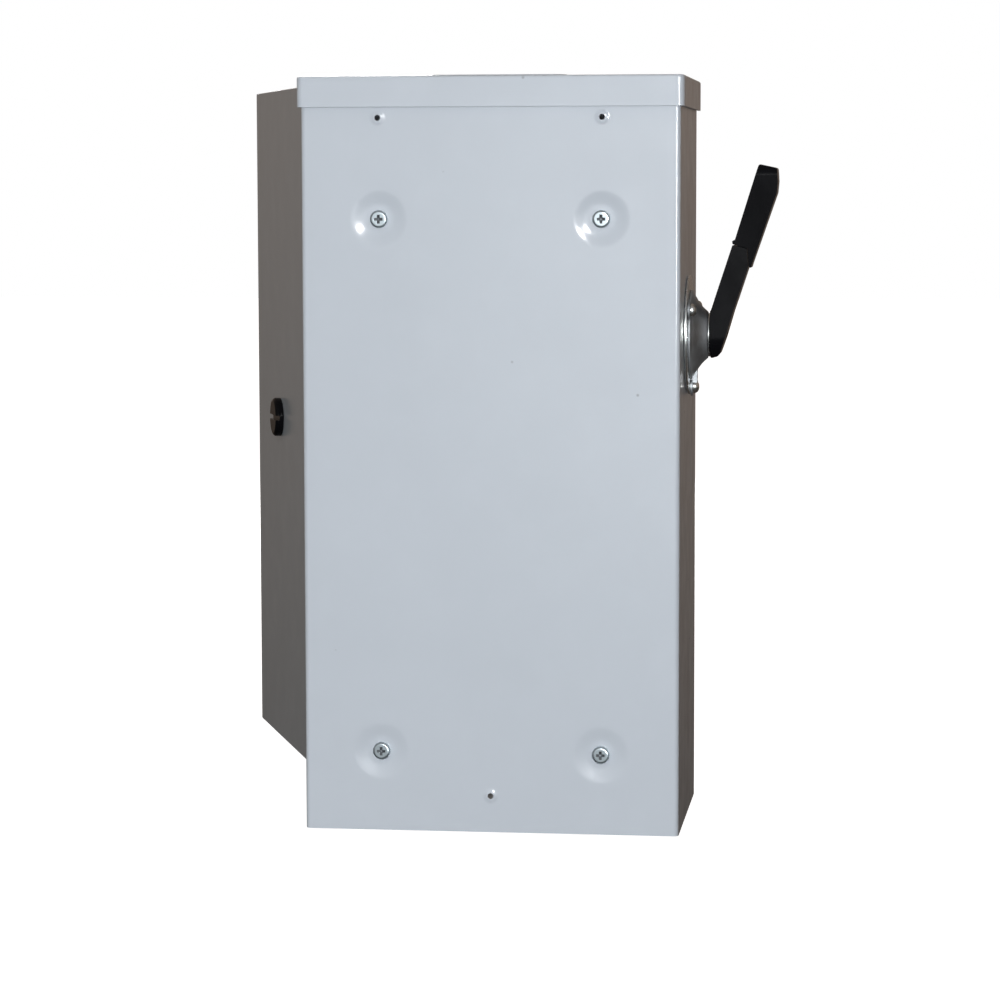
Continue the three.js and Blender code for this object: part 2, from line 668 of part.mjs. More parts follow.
plateScrewPlaces().forEach((place, i) => {
  disconnect.add(part(`plate_screw_${i + 1}`, plateScrew(place), ZINC));
});
earPlaces().forEach((place, i) => {
  disconnect.add(part(`dome_screw_${i + 1}`, domeScrew(place), ZINC));
});
POLES.forEach((x, i) => {
  const pole = i + 1;
  disconnect.add(
    part(`blade_${pole}`, blade(x), COPPER),
    part(`line_jaw_${pole}`, lineJaw(x), COPPER),
    part(`load_jaw_${pole}`, loadJaw(x), COPPER),
    part(`load_clip_${pole}`, loadClip(x), COPPER),
    part(`fuse_${pole}`, fuse(x), FUSE_BODY),
    part(`line_terminal_${pole}`, terminal(x, 370), STEEL),
    part(`load_terminal_${pole}`, terminal(x, 128), STEEL),
  );
});

// The door group turns about the hinge axis. Its pieces are drawn closed, so an offset hangs them from it.
const door = new THREE.Group();
door.position.set(HINGE_AXIS.x, HINGE_AXIS.y, 0);
door.rotation.z = DOOR_OPEN;
const hung = new THREE.Group();
hung.position.set(-HINGE_AXIS.x, -HINGE_AXIS.y, 0);
hung.add(
  part("door_pan", doorPan(), DOOR_PAINT),
  part("latch_knob", latchKnob(), BLACK),
  part("latch_cam", latchCam(), ZINC),
  part("latch_nut", latchNut(), ZINC),
  part("door_catch", doorCatch(), ZINC),
);
for (const [where, z] of [["lower", HINGE.low], ["upper", HINGE.high]]) {
  disconnect.add(part(`hinge_case_leaf_${where}`, caseLeaf(z), PAINT));
  disconnect.add(part(`hinge_pin_${where}`, hingePin(z), ZINC));
  hung.add(part(`hinge_door_leaf_${where}`, doorLeaf(z), PAINT));
}
door.add(hung);
disconnect.add(door);

export default disconnect;
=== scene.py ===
"""An enclosed disconnect switch seen from behind, with its door standing open.

Lengths in the shape code are millimetres in the part's own frame: +Z up, the wall is y = 0,
and the door side faces -Y.
"""
import math

import bmesh
import bpy
from mathutils import Matrix, Vector


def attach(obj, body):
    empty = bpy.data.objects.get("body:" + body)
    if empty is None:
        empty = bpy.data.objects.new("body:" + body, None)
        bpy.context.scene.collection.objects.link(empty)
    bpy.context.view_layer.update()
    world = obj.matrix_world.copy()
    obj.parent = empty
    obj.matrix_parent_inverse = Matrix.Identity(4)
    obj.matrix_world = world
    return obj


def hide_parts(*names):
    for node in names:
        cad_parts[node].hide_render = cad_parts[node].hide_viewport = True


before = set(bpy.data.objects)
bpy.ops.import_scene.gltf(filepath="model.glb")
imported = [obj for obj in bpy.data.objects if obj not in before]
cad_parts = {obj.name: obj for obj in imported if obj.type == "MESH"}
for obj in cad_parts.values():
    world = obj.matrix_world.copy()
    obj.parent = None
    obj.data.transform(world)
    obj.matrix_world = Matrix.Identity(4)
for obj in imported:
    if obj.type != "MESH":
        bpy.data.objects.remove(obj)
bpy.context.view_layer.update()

MM = 0.001

# ---- dimensions shared with the frame ----
SHEET = 1.5
BEND = 3.0
GAP = 0.3
CASE = {"half": 112.5, "back": -2.3, "front": -143.0, "top": 448.2, "lip": 14.0}
CAP = {"half": 114.8, "back": 0.0, "skirt": 431.8, "top": 450.0, "sheet": 1.9}
HEADER = {"half": 98.0, "low": 418.0}
SCREW = {"x": 66.0, "high": 366.0, "low": 48.0, "shank": 2.5, "head": 5.2, "height": 2.8}
RECESS_SHAPE = {"reach": 3.1, "half": 0.8, "depth": 2.2}
DIMPLE = {"outer": 17.6, "inner": 7.6, "depth": 1.5}
RIM = {"base": 4.6, "top": 2.4, "height": 0.6, "hole": 1.75}
HANGERS = [(-66.5, 425.5), (66.5, 425.5), (0.0, 22.0)]
AXLE = (-68.0, 295.5)
SHAFT = 5.5
RING = {"radius": 36.0, "outer": -114.3}
EARS = {"pitch": 31.5, "radius": 5.6, "hole": 2.3, "seat": 4.4, "angles": (-90, 30, 150)}
DOME = {"radius": 27.0, "height": 10.4}
DOOR = {"half": 114.5, "edge": -143.4, "face": -154.4, "low": 7.5, "top": 449.5}
HINGE_AXIS = (117.8, -143.4)
DOOR_OPEN = math.radians(111)
LATCH = {"x": -24.0, "z": 229.0, "knob": 13.0, "proud": 5.3, "stem": 6.0, "cam": -139.1}
FUSE = {"y": -40.0, "low": 150.0, "high": 226.0, "body": 9.6, "ferrule": 10.3, "cap": 16.0}
POLES = (-38.0, 0.0, 38.0)

ARM_PROFILE = [
    (-126.6, 281.3, 0.8), (-130.9, 282.6, 1.5), (-132.7, 284.8, 1.5), (-136.0, 294.5, 3),
    (-140.5, 309.8, 6), (-149.3, 336.2, 1.2), (-148.45, 347.55, 0.8), (-139.8, 349.9, 0.8),
    (-127.2, 311.0, 1), (-126.6, 309.9, 0.4),
]
GRIP_PROFILE = [
    (-139.9, 350.4, 0.4), (-148.8, 347.95, 0.4), (-149.6, 337.0, 0.4), (-150.9, 335.8, 0.5),
    (-151.7, 338.6, 0.8), (-166.3, 381.0, 4), (-166.9, 387.7, 3), (-166.4, 395.8, 1.5),
    (-155.4, 398.2, 1.2), (-141.3, 353.0, 0.8), (-139.6, 352.2, 0.4),
]


# ---- outlines ----

def corner_arc(before, here, after, radius, steps):
    """The points of an arc that rounds one corner of an outline."""
    point = Vector(here)
    back = (Vector(before) - point).normalized()
    ahead = (Vector(after) - point).normalized()
    half = back.angle(ahead) / 2
    centre = point + (back + ahead).normalized() * (radius / math.sin(half))
    spoke = point + back * (radius / math.tan(half)) - centre
    cross = back.x * ahead.y - back.y * ahead.x
    turn = -math.copysign(math.pi - 2 * half, cross)
    made = []
    for k in range(steps + 1):
        angle = turn * k / steps
        x = spoke.x * math.cos(angle) - spoke.y * math.sin(angle)
        y = spoke.x * math.sin(angle) + spoke.y * math.cos(angle)
        made.append((centre.x + x, centre.y + y))
    return made


def rounded(corners, steps=6):
    """An outline whose corners are (u, v), or (u, v, radius) where they are rounded."""
    points = []
    count = len(corners)
    for i, corner in enumerate(corners):
        if len(corner) == 2:
            points.append(tuple(corner))
            continue
        before = corners[i - 1][:2]
        after = corners[(i + 1) % count][:2]
        points.extend(corner_arc(before, corner[:2], after, corner[2], steps))
    return points


# ---- meshes ----

def mesh_object(name, points, faces):
    data = bpy.data.meshes.new(name)
    data.from_pydata([(x * MM, y * MM, z * MM) for x, y, z in points], [], faces)
    made = bpy.data.objects.new(name, data)
    bpy.context.scene.collection.objects.link(made)
    face_outward(made)
    return made


def face_outward(obj):
    work = bmesh.new()
    work.from_mesh(obj.data)
    bmesh.ops.recalc_face_normals(work, faces=work.faces)
    work.to_mesh(obj.data)
    work.free()


PLACE = {
    "xy": lambda u, v, w: (u, v, w),
    "yz": lambda u, v, w: (w, u, v),
    "xz": lambda u, v, w: (u, w, v),
}


def prism(name, plane, outline, span):
    """An outline carried along its plane's normal."""
    put = PLACE[plane]
    count = len(outline)
    points = [put(u, v, w) for w in span for u, v in outline]
    faces = [tuple(range(count)), tuple(range(2 * count - 1, count - 1, -1))]
    for i in range(count):
        j = (i + 1) % count
        faces.append((i, j, count + j, count + i))
    return mesh_object(name, points, faces)


def block(name, x, y, z):
    return prism(name, "xy", [(x[0], y[0]), (x[1], y[0]), (x[1], y[1]), (x[0], y[1])], z)


AXIS_PLACE = {
    "x": lambda s, a, b, d: (s[0] + d, s[1] + a, s[2] + b),
    "-x": lambda s, a, b, d: (s[0] - d, s[1] + a, s[2] + b),
    "y": lambda s, a, b, d: (s[0] + a, s[1] + d, s[2] + b),
    "-y": lambda s, a, b, d: (s[0] + a, s[1] - d, s[2] + b),
    "z": lambda s, a, b, d: (s[0] + a, s[1] + b, s[2] + d),
}


def turned(name, axis, start, profile, segments=48):
    """A solid of revolution. The profile lists (radius, distance along the axis); radius 0 is a pole."""
    put = AXIS_PLACE[axis]
    points = []
    rows = []
    for radius, distance in profile:
        if radius == 0:
            rows.append([len(points)] * segments)
            points.append(put(start, 0, 0, distance))
            continue
        rows.append(list(range(len(points), len(points) + segments)))
        for k in range(segments):
            angle = 2 * math.pi * k / segments
            points.append(put(start, radius * math.cos(angle), radius * math.sin(angle), distance))
    closed = profile[0][0] != 0
    faces = []
    pairs = list(zip(rows, rows[1:]))
    if closed:
        pairs.append((rows[-1], rows[0]))
    for low, high in pairs:
        for k in range(segments):
            j = (k + 1) % segments
            corners = []
            for index in (low[k], low[j], high[j], high[k]):
                if index not in corners:
                    corners.append(index)
            if len(corners) > 2:
                faces.append(corners)
    return mesh_object(name, points, faces)


def rod(name, axis, start, length, radius, segments=32):
    return turned(name, axis, start, [(0, 0), (radius, 0), (radius, length), (0, length)], segments)


def combined(obj, operation, tools):
    """Cuts, joins or intersects with each tool in turn, and uses the tools up."""
    for tool in tools:
        step = obj.modifiers.new("step", "BOOLEAN")
        step.operation = operation
        step.solver = "MANIFOLD"
        step.object = tool
        graph = bpy.context.evaluated_depsgraph_get()
        result = bpy.data.meshes.new_from_object(obj.evaluated_get(graph))
        obj.modifiers.clear()
        obj.data = result
        bpy.data.objects.remove(tool)
    return obj


def cut(obj, *tools):
    return combined(obj, "DIFFERENCE", tools)


def join(obj, *tools):
    return combined(obj, "UNION", tools)


def common(obj, *tools):
    return combined(obj, "INTERSECT", tools)


def tidy(obj, merge=0.004):
    """Merges the doubled points a cut can leave, and dissolves edges inside flat faces."""
    work = bmesh.new()
    work.from_mesh(obj.data)
    bmesh.ops.remove_doubles(work, verts=work.verts, dist=merge * MM)
    bmesh.ops.dissolve_limit(work, angle_limit=math.radians(0.4), verts=work.verts, edges=work.edges)
    work.to_mesh(obj.data)
    work.free()
    return obj


def smooth_group():
    """Shades smooth everywhere but on edges that turn more than 32 degrees."""
    group = bpy.data.node_groups.new("smooth_by_angle", "GeometryNodeTree")
    group.interface.new_socket("Geometry", in_out="INPUT", socket_type="NodeSocketGeometry")
    group.interface.new_socket("Geometry", in_out="OUTPUT", socket_type="NodeSocketGeometry")
    nodes, links = group.nodes, group.links
    source = nodes.new("NodeGroupInput")
    bare = nodes.new("GeometryNodeRemoveAttribute")
    bare.inputs["Name"].default_value = "custom_normal"
    angle = nodes.new("GeometryNodeInputMeshEdgeAngle")
    gentle = nodes.new("FunctionNodeCompare")
    gentle.operation = "LESS_THAN"
    gentle.inputs["B"].default_value = math.radians(32)
    faces = nodes.new("GeometryNodeSetShadeSmooth")
    edges = nodes.new("GeometryNodeSetShadeSmooth")
    edges.domain = "EDGE"
    target = nodes.new("NodeGroupOutput")
    links.new(source.outputs["Geometry"], bare.inputs["Geometry"])
    links.new(bare.outputs["Geometry"], faces.inputs["Geometry"])
    links.new(faces.outputs["Geometry"], edges.inputs["Geometry"])
    links.new(angle.outputs["Unsigned Angle"], gentle.inputs["A"])
    links.new(gentle.outputs["Result"], edges.inputs["Shade Smooth"])
    links.new(edges.outputs["Geometry"], target.inputs["Geometry"])
    return group


SMOOTH = smooth_group()


def soften(obj, width=0.3, segments=2, from_angle=30):
    """Small rounded edges, then smooth shading between the sharper ones."""
    if width:
        edge = obj.modifiers.new("edge_round", "BEVEL")
        edge.width = width * MM
        edge.segments = segments
        edge.limit_method = "ANGLE"
        edge.angle_limit = math.radians(from_angle)
        edge.harden_normals = False
        edge.use_clamp_overlap = True
    shade = obj.modifiers.new("smooth", "NODES")
    shade.node_group = SMOOTH
    level = obj.modifiers.new("flat_faces", "WEIGHTED_NORMAL")
    level.keep_sharp = True
    level.weight = 80
    return obj


def soften_node(node, width):
    """Rounds a node that keeps its own mesh: its triangles are first read as flat faces."""
    weld = node.modifiers.new("weld", "WELD")
    weld.merge_threshold = 0.002 * MM
    flat = node.modifiers.new("flat", "DECIMATE")
    flat.decimate_type = "DISSOLVE"
    flat.angle_limit = math.radians(0.5)
    return soften(node, width)


def swing_open(obj):
    """Turns a piece drawn on the closed door to where the door stands open."""
    pivot = Vector((HINGE_AXIS[0] * MM, HINGE_AXIS[1] * MM, 0))
    turn = Matrix.Translation(pivot) @ Matrix.Rotation(DOOR_OPEN, 4, "Z") @ Matrix.Translation(-pivot)
    obj.data.transform(turn)
    return obj


def keep(obj, body, slot, material, *nodes):
    """Puts a finished piece in the model in place of its nodes."""
    if material is not None:
        obj.data.materials.clear()
        obj.data.materials.append(material)
    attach(obj, body)
    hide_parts(*nodes)
    return obj


# ---- finishes ----

def noise(nodes, links, coords, scale, detail=3.0, stretch=None):
    source = coords.outputs["Object"]
    if stretch:
        mapping = nodes.new("ShaderNodeMapping")
        mapping.inputs["Scale"].default_value = stretch
        links.new(source, mapping.inputs["Vector"])
        source = mapping.outputs["Vector"]
    made = nodes.new("ShaderNodeTexNoise")
    made.inputs["Scale"].default_value = scale
    made.inputs["Detail"].default_value = detail
    links.new(source, made.inputs["Vector"])
    return made.outputs["Fac"]


def spread(nodes, links, value, low, high, start=0.3, end=0.7):
    made = nodes.new("ShaderNodeMapRange")
    made.inputs["From Min"].default_value = start
    made.inputs["From Max"].default_value = end
    made.inputs["To Min"].default_value = low
    made.inputs["To Max"].default_value = high
    links.new(value, made.inputs["Value"])
    return made.outputs["Result"]


def blend_colour(nodes, links, factor, first, second):
    made = nodes.new("ShaderNodeMix")
    made.data_type = "RGBA"
    links.new(factor, made.inputs["Factor"])
    for socket, value in (("A", first), ("B", second)):
        target = next(s for s in made.inputs if s.name == socket and s.type == "RGBA")
        if isinstance(value, tuple):
            target.default_value = (*value, 1)
        else:
            links.new(value, target)
    return next(s for s in made.outputs if s.type == "RGBA")


def bump(nodes, links, height, distance, below=None):
    made = nodes.new("ShaderNodeBump")
    made.inputs["Strength"].default_value = 1.0
    made.inputs["Distance"].default_value = distance * MM
    links.new(height, made.inputs["Height"])
    if below is not None:
        links.new(below, made.inputs["Normal"])
    return made.outputs["Normal"]


def shade(colour, amount):
    return tuple(min(1.0, c * amount) for c in colour)


def new_material(name):
    material = bpy.data.materials.new(name)
    material.use_nodes = True
    tree = material.node_tree
    coords = tree.nodes.new("ShaderNodeTexCoord")
    return material, tree.nodes, tree.links, tree.nodes["Principled BSDF"], coords


def painted(name, colour):
    """Baked enamel on sheet steel: fine orange peel, faint handling marks and a few specks."""
    material, nodes, links, shader, coords = new_material(name)
    broad = noise(nodes, links, coords, 14, 4)
    patches = spread(nodes, links, broad, 0, 1)
    tone = blend_colour(nodes, links, patches, shade(colour, 0.985), shade(colour, 1.01))
    smudge = noise(nodes, links, coords, 42, 6)
    marks = spread(nodes, links, smudge, 0, 0.35, 0.50, 0.85)
    tone = blend_colour(nodes, links, marks, tone, shade(colour, 1.05))
    dust = nodes.new("ShaderNodeTexVoronoi")
    dust.inputs["Scale"].default_value = 26
    links.new(coords.outputs["Object"], dust.inputs["Vector"])
    specks = spread(nodes, links, dust.outputs["Distance"], 0.55, 0, 0.012, 0.03)
    tone = blend_colour(nodes, links, specks, tone, shade(colour, 0.35))
    links.new(tone, shader.inputs["Base Color"])
    links.new(spread(nodes, links, smudge, 0.13, 0.19), shader.inputs["Roughness"])
    peel = noise(nodes, links, coords, 420, 2)
    waves = noise(nodes, links, coords, 22, 1)
    lower = bump(nodes, links, waves, 0.05)
    links.new(bump(nodes, links, peel, 0.012, lower), shader.inputs["Normal"])
    shader.inputs["IOR"].default_value = 1.5
    return material


def metal(name, colour, rough, grain=900, depth=0.006, stretch=None, tint=None):
    """Plated, rolled or cast metal: uneven tone and roughness over a fine grain."""
    material, nodes, links, shader, coords = new_material(name)
    broad = noise(nodes, links, coords, 70, 5)
    other = tint or shade(colour, 0.78)
    tone = blend_colour(nodes, links, spread(nodes, links, broad, 0, 1), colour, other)
    links.new(tone, shader.inputs["Base Color"])
    links.new(spread(nodes, links, broad, rough * 0.8, rough * 1.35), shader.inputs["Roughness"])
    fine = noise(nodes, links, coords, grain, 4, stretch)
    links.new(bump(nodes, links, fine, depth), shader.inputs["Normal"])
    shader.inputs["Metallic"].default_value = 1.0
    return material


def moulded(name, colour, rough, grain=1400, depth=0.01, fleck=None, sheen=0.5):
    """Moulded plastic, phenolic or fibre: a fine surface grain, with flecks where there is a filler."""
    material, nodes, links, shader, coords = new_material(name)
    broad = noise(nodes, links, coords, 55, 4)
    patches = spread(nodes, links, broad, 0, 1)
    tone = blend_colour(nodes, links, patches, shade(colour, 0.82), shade(colour, 1.2))
    if fleck:
        filler = noise(nodes, links, coords, 1100, 2)
        tone = blend_colour(nodes, links, spread(nodes, links, filler, 0, 0.8, 0.6, 0.7), tone, fleck)
    links.new(tone, shader.inputs["Base Color"])
    links.new(spread(nodes, links, broad, rough * 0.85, rough * 1.2), shader.inputs["Roughness"])
    fine = noise(nodes, links, coords, grain, 3)
    links.new(bump(nodes, links, fine, depth), shader.inputs["Normal"])
    shader.inputs["Specular IOR Level"].default_value = sheen
    return material


def clear_sheet(name):
    material, nodes, links, shader, coords = new_material(name)
    haze = noise(nodes, links, coords, 60, 5)
    links.new(spread(nodes, links, haze, 0.05, 0.16), shader.inputs["Roughness"])
    tone = blend_colour(nodes, links, haze, (0.86, 0.90, 0.92), (0.93, 0.95, 0.96))
    links.new(tone, shader.inputs["Base Color"])
    shader.inputs["Alpha"].default_value = 0.30
    shader.inputs["IOR"].default_value = 1.49
    return material


PAINT = painted("case_enamel", (0.572, 0.614, 0.668))
# The door's enamel is the case enamel made darker: painted shade for the door face, which turns away from the
# light.
SHADED_DOOR_PAINT = painted("door_enamel_painted_shade", (0.410, 0.442, 0.465))
BRIGHT = metal("bright_zinc_plate", (0.84, 0.87, 0.86), 0.24)
BLUE_ZINC = metal("blue_zinc_plate", (0.58, 0.66, 0.70), 0.32)
# Darker, rougher metal for the walls of the screw recesses: painted shade where the recess traps light.
SHADED_RECESS = metal("recess_painted_shade", (0.27, 0.29, 0.31), 0.60)
PLATED = metal("passivated_steel", (0.62, 0.62, 0.56), 0.33, tint=(0.56, 0.52, 0.40))
CASTING = metal("dark_die_casting", (0.39, 0.41, 0.43), 0.52, grain=520, depth=0.05)
STEEL = metal("terminal_steel", (0.56, 0.56, 0.57), 0.34)
COPPER = metal("tinned_copper", (0.70, 0.68, 0.62), 0.28, tint=(0.72, 0.50, 0.36))
BAR = metal("extruded_aluminium", (0.78, 0.79, 0.80), 0.34, grain=300, stretch=(8, 8, 0.4))
FERRULE = metal("fuse_ferrule", (0.72, 0.55, 0.30), 0.26)
BLACK = moulded("lever_plastic", (0.004, 0.004, 0.005), 0.16, sheen=0.07)
PHENOLIC = moulded("phenolic_base", (0.030, 0.024, 0.020), 0.52, fleck=(0.10, 0.075, 0.055))
ROTOR_PLASTIC = moulded("rotor_plastic", (0.016, 0.016, 0.018), 0.46)
TUBE = moulded("fuse_fibre", (0.42, 0.27, 0.14), 0.72, grain=600, depth=0.03, fleck=(0.60, 0.44, 0.27))
CLEAR = clear_sheet("clear_shield")

NODE_FINISH = {
    "bottom_plate": (PAINT, 0.35), "hub_cover": (PAINT, 0.35), "mounting_plate": (PLATED, 0.2),
    "switch_base": (PHENOLIC, 0.45), "rotor": (ROTOR_PLASTIC, 0.35), "line_shield": (CLEAR, 0.25),
    "ground_bar": (BAR, 0.3), "mechanism_frame": (PLATED, 0.3), "drive_crank": (STEEL, 0.3),
    "interlock_lever": (PLATED, 0.25), "handle_shaft": (STEEL, 0.3), "blade": (COPPER, 0.25),
    "line_jaw": (COPPER, 0.2), "load_jaw": (COPPER, 0.15), "load_clip": (COPPER, 0.15),
    "line_terminal": (STEEL, 0.25), "load_terminal": (STEEL, 0.25), "latch_cam": (PLATED, 0.25),
    "latch_nut": (PLATED, 0.2), "door_catch": (PLATED, 0.25), "hinge_case_leaf": (PAINT, 0.2),
    # The door's hinge leaf takes the darker door enamel, which is painted shade.
    "hinge_door_leaf": (SHADED_DOOR_PAINT, 0.2), "hinge_pin": (STEEL, 0.2),
}


def node_kind(name):
    for ending in ("_lower", "_upper", "_1", "_2", "_3", "_4"):
        if name.endswith(ending):
            return name[: -len(ending)]
    return name


def finish_nodes():
    """Nodes whose shape is right keep their mesh, with rounded edges and a procedural finish."""
    for name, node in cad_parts.items():
        kind = node_kind(name)
        if kind not in NODE_FINISH:
            continue
        material, width = NODE_FINISH[kind]
        if not node.material_slots:
            node.data.materials.append(material)
        for place in node.material_slots:
            place.material = material
        soften_node(node, width)


# ---- case ----

def grid_lines(low, high, coarse, zones):
    """Coordinates from low to high, closely spaced inside each (centre, reach, pitch) zone."""
    made = {low, high}
    steps = round((high - low) / coarse)
    for k in range(steps + 1):
        value = low + (high - low) * k / steps
        if all(abs(value - centre) > reach for centre, reach, _ in zones):
            made.add(round(value, 3))
    for centre, reach, pitch in zones:
        count = round(reach / pitch)
        for k in range(-count, count + 1):
            value = round(centre + reach * k / count, 3)
            if low < value < high:
                made.add(value)
    ordered = sorted(made)
    kept = [ordered[0]]
    for value in ordered[1:]:
        if value - kept[-1] > 0.25 or value == high:
            kept.append(value)
    return kept


def ease(distance, inner, outer):
    """1 inside the inner radius, 0 outside the outer one, and smooth between."""
    t = min(1.0, max(0.0, (outer - distance) / (outer - inner)))
    return t * t * (3 - 2 * t)


def screw_places():
    x, high, low = SCREW["x"], SCREW["high"], SCREW["low"]
    return [(-x, high), (x, high), (-x, low), (x, low)]


def ear_places():
    made = []
    for degrees in EARS["angles"]:
        angle = math.radians(degrees)
        made.append((AXLE[0] + EARS["pitch"] * math.cos(angle), AXLE[1] + EARS["pitch"] * math.sin(angle)))
    return made


def pressed(x, z):
    """How far the back sheet is pressed out at a point: in at the screws, out at the hanging holes."""
    height = 0.0
    for sx, sz in screw_places():
        height -= DIMPLE["depth"] * ease(math.hypot(x - sx, z - sz), DIMPLE["inner"], DIMPLE["outer"])
    for hx, hz in HANGERS:
        height += RIM["height"] * ease(math.hypot(x - hx, z - hz), RIM["top"], RIM["base"])
    return height


def wrap_path():
    """The bent sheet's outer line as (x, y, normal x, normal y, on the back)."""
    half, back, front, lip = CASE["half"], CASE["back"], CASE["front"], CASE["lip"]
    steps = 8

    def bend(cx, cy, start):
        made = []
        for k in range(steps + 1):
            angle = start - math.pi / 2 * k / steps
            nx, ny = math.cos(angle), math.sin(angle)
            made.append((cx + BEND * nx, cy + BEND * ny, nx, ny, False))
        return made

    inset = half - BEND
    path = [(-half + lip, front, 0, -1, False)]
    path += bend(-inset, front + BEND, -math.pi / 2)
    path += bend(-inset, back - BEND, math.pi)
    reach = DIMPLE["outer"] + 1
    zones = [(-SCREW["x"], reach, 0.85), (SCREW["x"], reach, 0.85), (0, 7, 0.7)]
    for x in grid_lines(-inset, inset, 12, zones)[1:-1]:
        path.append((x, back, 0, 1, True))
    path += bend(inset, back - BEND, math.pi / 2)
    path += bend(inset, front + BEND, 0)
    path.append((half - lip, front, 0, -1, False))
    return path


def body_shell():
    path = wrap_path()
    reach = DIMPLE["outer"] + 1
    zones = [(425.5, 7, 0.7), (SCREW["high"], reach, 0.85), (SCREW["low"], reach, 0.85), (22, 7, 0.7)]
    levels = grid_lines(0, CASE["top"], 14, zones)
    wide, tall = len(path), len(levels)
    points = []
    for inward in (0, SHEET):
        for z in levels:
            for x, y, nx, ny, on_back in path:
                out = (pressed(x, z) if on_back else 0) - inward
                points.append((x + nx * out, y + ny * out, z))
    layer = wide * tall
    faces = []
    for j in range(tall - 1):
        for i in range(wide - 1):
            a = j * wide + i
            faces.append((a, a + 1, a + wide + 1, a + wide))
            faces.append((layer + a + wide, layer + a + wide + 1, layer + a + 1, layer + a))
    for i in range(wide - 1):
        top = (tall - 1) * wide + i
        faces.append((i + 1, i, layer + i, layer + i + 1))
        faces.append((top, top + 1, layer + top + 1, layer + top))
    for j in range(tall - 1):
        first, last = j * wide, j * wide + wide - 1
        faces.append((first, first + wide, layer + first + wide, layer + first))
        faces.append((last + wide, last, layer + last, layer + last + wide))
    shell = mesh_object("body_shell_formed", points, faces)
    holes = []
    for x, z in screw_places():
        holes.append(rod("hole", "-y", (x, 1, z), 10, SCREW["shank"] + GAP))
    for x, z in HANGERS:
        holes.append(rod("hole", "-y", (x, 2, z), 10, RIM["hole"], 24))
    side = -CASE["half"] - 2
    holes.append(rod("hole", "x", (side, *AXLE), 6, SHAFT + 3.5))
    for y, z in ear_places():
        holes.append(rod("hole", "x", (side, y, z), 6, EARS["hole"]))
    cut(shell, *holes)
    soften(shell, 0)
    return keep(shell, "case", "case_paint", PAINT, "body_shell")


def bevel_edges(obj, width, segments, chosen):
    """Rounds the edges that a test on their two ends picks."""
    work = bmesh.new()
    work.from_mesh(obj.data)
    edges = [e for e in work.edges if chosen(e.verts[0].co / MM, e.verts[1].co / MM)]
    bmesh.ops.bevel(
        work, geom=edges, offset=width * MM, segments=segments, profile=0.5, affect="EDGES",
        clamp_overlap=True,
    )
    work.to_mesh(obj.data)
    work.free()
    return obj


def top_cap():
    half, back, top, sheet = CAP["half"], CAP["back"], CAP["top"], CAP["sheet"]
    front = CASE["front"]
    outline = rounded([(-half, front), (-half, back, 4), (half, back, 4), (half, front)], 10)
    cap = prism("top_cap_formed", "xy", outline, (CAP["skirt"], top))
    bevel_edges(cap, 1.6, 4, lambda a, b: min(a.z, b.z) > top - 0.1 and max(a.y, b.y) > front + 0.1)
    inner = rounded([
        (-half + sheet, front - 1), (-half + sheet, back - sheet, 3),
        (half - sheet, back - sheet, 3), (half - sheet, front - 1),
    ], 10)
    cut(cap, prism("pocket", "xy", inner, (CAP["skirt"] - 1, top - SHEET)))
    reach = HEADER["half"]
    join(cap, block("header", (-reach, reach), (front, front + SHEET), (HEADER["low"], top - SHEET / 2)))
    tidy(cap)
    soften(cap, 0.25, 2, 50)
    return keep(cap, "case", "case_paint", PAINT, "top_cap")


# ---- fasteners ----

def cross_recess(x, y, z):
    """Two slots in a plus, tapering to a point, cut into a head that faces +Y."""
    reach, half, depth = RECESS_SHAPE["reach"], RECESS_SHAPE["half"], RECESS_SHAPE["depth"]
    outline = [(-reach, 0.5), (reach, 0.5), (0.2, -depth), (-0.2, -depth)]
    made = []
    for across in (True, False):
        if across:
            tool = prism("slot", "xy", [(x + u, y + v) for u, v in outline], (z - half, z + half))
        else:
            tool = prism("slot", "yz", [(y + v, z + u) for u, v in outline], (x - half, x + half))
        made.append(tool)
    return made


def finish_screw(screw, x, z, seat):
    """Bright plate outside, and a darker, duller metal on the walls of the recess: painted shade."""
    screw.data.materials.clear()
    screw.data.materials.append(BLUE_ZINC)
    screw.data.materials.append(SHADED_RECESS)
    for face in screw.data.polygons:
        centre = face.center / MM
        sunk = seat + 0.3 < centre.y < seat + SCREW["height"] - 0.05
        inside = math.hypot(centre.x - x, centre.z - z) < RECESS_SHAPE["reach"] + 0.2
        # Faces inside the recess take the darker metal as painted shade.
        face.material_index = int(sunk and inside)


def plate_screws():
    """Pan-head screws with a cross recess, seated in the dimples."""
    seat = CASE["back"] - DIMPLE["depth"] + GAP
    head, height = SCREW["head"], SCREW["height"]
    for number, (x, z) in enumerate(screw_places(), 1):
        profile = [
            (0, 0), (head - 0.2, 0), (head, 0.2), (head, 1.5), (head - 0.12, 2.0), (head - 0.45, 2.45),
            (head - 0.95, height - 0.1), (head - 1.5, height), (0, height),
        ]
        screw = turned(f"plate_screw_{number}_turned", "y", (x, seat, z), profile, 40)
        cut(screw, *cross_recess(x, seat + height, z))
        join(screw, rod("shank", "-y", (x, seat + 0.4, z), 9.9, SCREW["shank"] - 0.05))
        soften(tidy(screw), 0.1, 2, 40)
        finish_screw(screw, x, z, seat)
        keep(screw, "case", "bright_zinc", None, f"plate_screw_{number}")


def dome_screws():
    seat = RING["outer"] - GAP - 1.2 - GAP
    for number, (y, z) in enumerate(ear_places(), 1):
        profile = [
            (0, 0), (3.85, 0), (4, 0.15), (4, 0.8), (3.8, 1.6), (3.3, 2.4), (2.5, 3.0), (1.4, 3.42), (0, 3.6),
        ]
        screw = turned(f"dome_screw_{number}_turned", "-x", (seat, y, z), profile, 36)
        join(screw, rod("shank", "x", (seat - 0.4, y, z), 8.8, 1.95, 24))
        soften(screw, 0)
        keep(screw, "case", "bright_zinc", BRIGHT, f"dome_screw_{number}")


# ---- side handle ----

